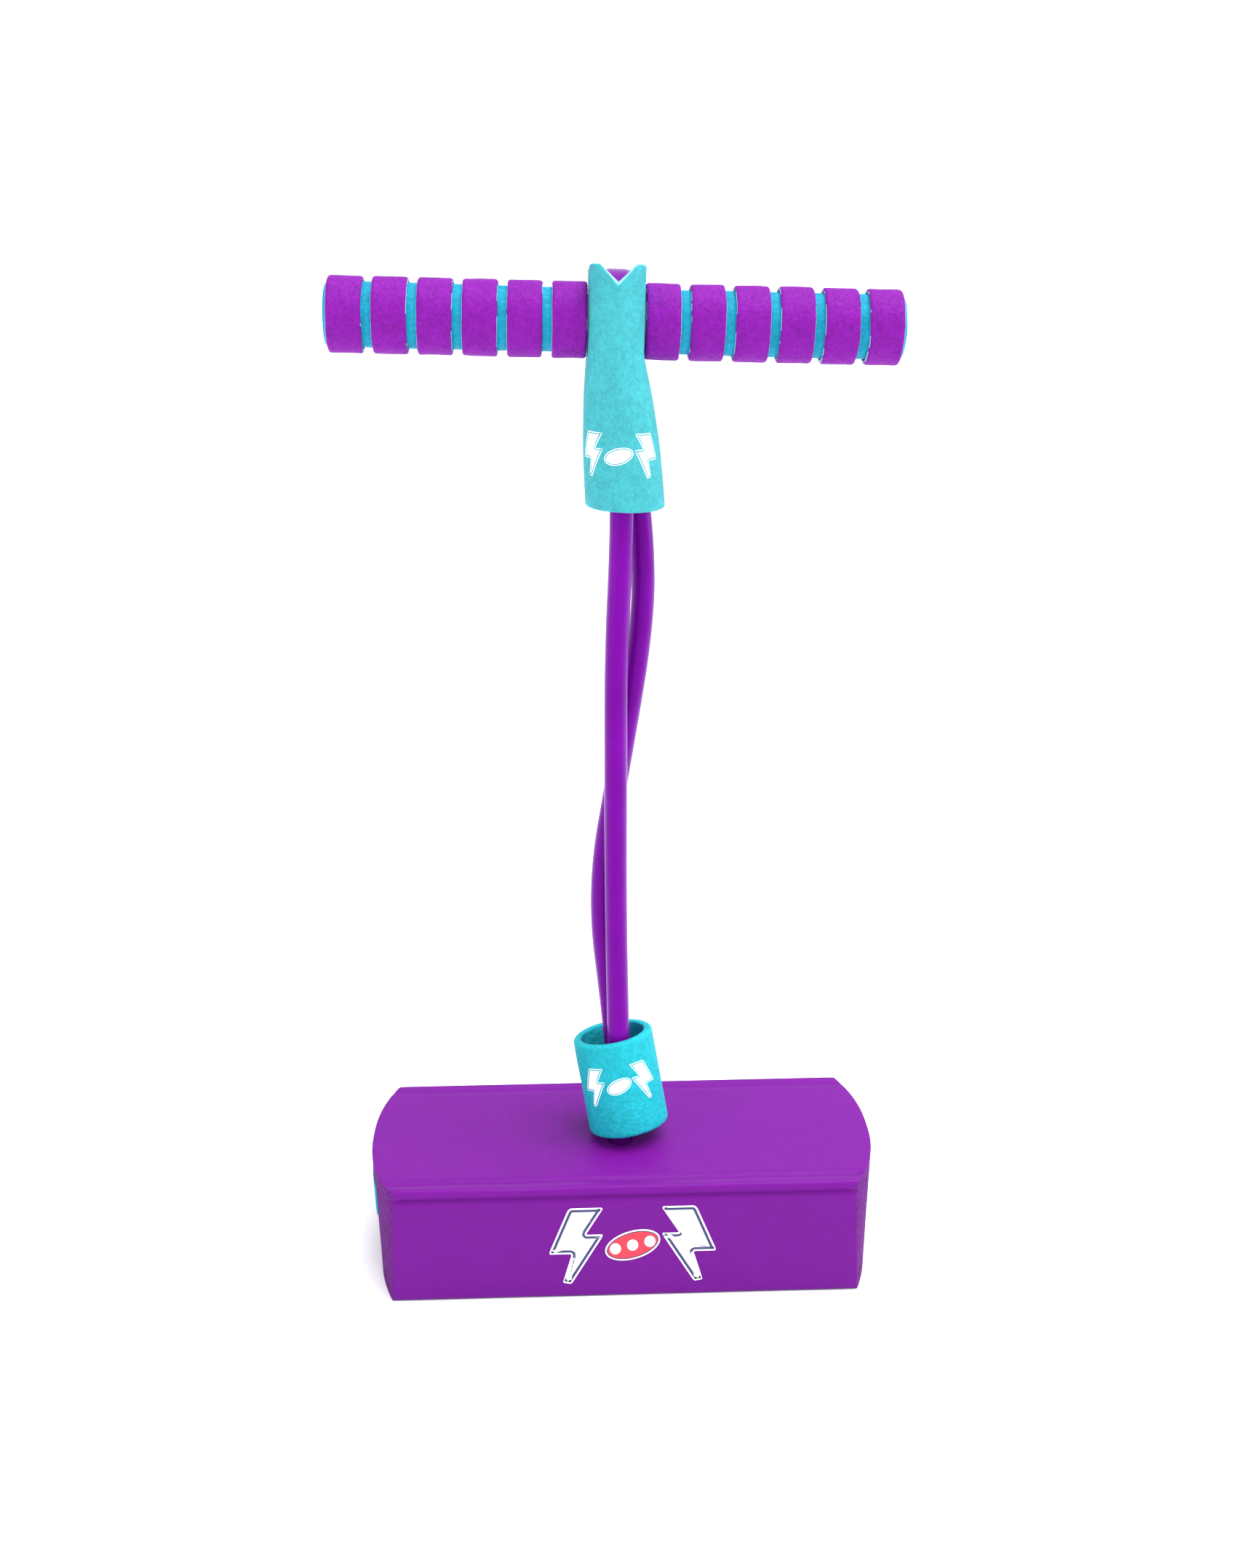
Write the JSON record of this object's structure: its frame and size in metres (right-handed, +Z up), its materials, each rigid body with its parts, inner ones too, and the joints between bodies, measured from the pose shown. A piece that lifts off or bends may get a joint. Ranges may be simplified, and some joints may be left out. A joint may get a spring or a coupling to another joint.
{
  "type": "foam pogo jumper",
  "caption": "Child's soft pogo jumper: foam foot block, looped rubber cord, loose foam collar and a ribbed foam handlebar hung in a foam sleeve.",
  "frame": {"origin": "middle of the sole, where the block stands on the ground, at the centre of the bounding box's underside", "axes": "+Z up along the cord, +X along the handlebar and the foot block, +Y through the block's depth, away from the side that is printed"},
  "size_m": [0.2556, 0.11, 0.489],
  "materials": {
    "grip_purple_foam": "matte",
    "teal_foam": "matte",
    "base_purple_foam": "matte",
    "cord_rubber": "satin",
    "white_plastic": "satin",
    "squeaker_vinyl": "satin"
  },
  "bodies": {
    "base": {"base_wrap": "base_purple_foam", "base_core": "teal_foam", "base_sole": "base_purple_foam", "anchor_plate": "white_plastic", "cord_clamp": "white_plastic", "sole_plug": "base_purple_foam", "squeaker_reed": "squeaker_vinyl", "squeaker_bellows": "squeaker_vinyl", "cord_tail_front": "cord_rubber", "cord_tail_rear": "cord_rubber"},
    "squeaker": {"squeaker_cap": "squeaker_vinyl"},
    "cord_root": {"cord_root_front": "cord_rubber", "cord_root_rear": "cord_rubber"},
    "cords": {"cord_front": "cord_rubber", "cord_rear": "cord_rubber"},
    "collar": {"collar": "teal_foam"},
    "handle": {"sleeve": "teal_foam", "cord_arch": "cord_rubber"},
    "bar": {"handlebar_tube": "white_plastic", "end_cap_left": "white_plastic", "end_cap_right": "white_plastic", "grip_core_left": "teal_foam", "grip_core_right": "teal_foam", "grip_ring_left_1": "grip_purple_foam", "grip_ring_left_2": "grip_purple_foam", "grip_ring_left_3": "grip_purple_foam", "grip_ring_left_4": "grip_purple_foam", "grip_ring_left_5": "grip_purple_foam", "grip_ring_left_6": "grip_purple_foam", "grip_ring_right_1": "grip_purple_foam", "grip_ring_right_2": "grip_purple_foam", "grip_ring_right_3": "grip_purple_foam", "grip_ring_right_4": "grip_purple_foam", "grip_ring_right_5": "grip_purple_foam", "grip_ring_right_6": "grip_purple_foam"}
  },
  "joints": [
    {"name": "squeaker_press", "type": "slide", "parent": "base", "child": "squeaker", "axis": [0, 0, -1], "range_m": [0, 0.005], "stiffness_N_per_m": 900, "deforming": ["squeaker_bellows"]},
    {"name": "sway_side", "type": "hinge", "parent": "base", "child": "cord_root", "pos_m": [-0.00075, -0.002, 0.063], "axis": [0, 1, 0], "range_deg": [-25, 25], "stiffness_Nm_per_rad": 6, "deforming": ["cord_root_front", "cord_root_rear", "collar"]},
    {"name": "sway_fore", "type": "hinge", "parent": "cord_root", "child": "cords", "pos_m": [-0.00075, -0.002, 0.063], "axis": [1, 0, 0], "range_deg": [-25, 25], "stiffness_Nm_per_rad": 6},
    {"name": "collar_slide", "type": "slide", "parent": "cords", "child": "collar", "axis": [0, 0, 1], "range_m": [0, 0.18]},
    {"name": "handle_lift", "type": "slide", "parent": "cords", "child": "handle", "axis": [0, 0, 1], "range_m": [0, 0.25], "stiffness_N_per_m": 350, "deforming": ["cord_front", "cord_rear"]},
    {"name": "bar_spin", "type": "hinge", "parent": "handle", "child": "bar", "pos_m": [0, 0, 0.4626], "axis": [0.9995, 0, -0.0325], "continuous": true}
  ]
}
